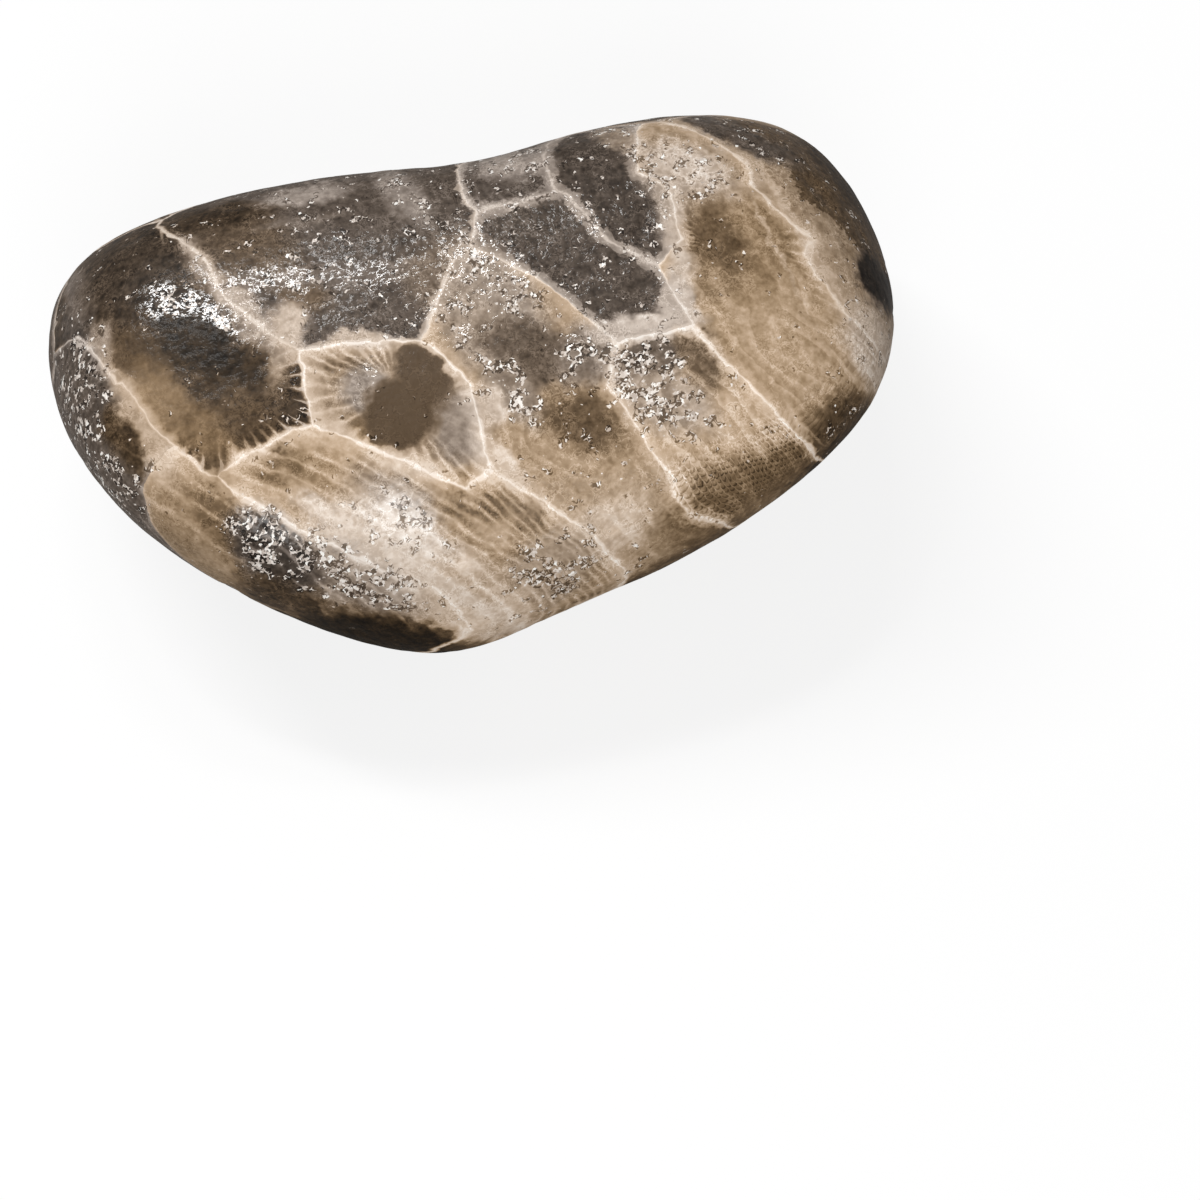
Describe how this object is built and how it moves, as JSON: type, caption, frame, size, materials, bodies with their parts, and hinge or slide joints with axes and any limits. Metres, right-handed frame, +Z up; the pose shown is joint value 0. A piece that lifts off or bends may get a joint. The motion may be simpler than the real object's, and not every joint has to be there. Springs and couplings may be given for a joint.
{
  "type": "petoskey stone",
  "caption": "Tumbled pebble of fossil colony coral, polished to a gloss, long and rounded, lying on a small worn flat.",
  "frame": {"origin": "on the surface that the stone lies on, under the middle of its box", "axes": "+X along the stone's length, +Z up through its thickness; the broad top face tips towards -Y"},
  "size_m": [0.0575, 0.0366, 0.0255],
  "materials": {
    "coral_limestone": "gloss"
  },
  "bodies": {
    "root": {"stone": "coral_limestone"}
  },
  "joints": []
}
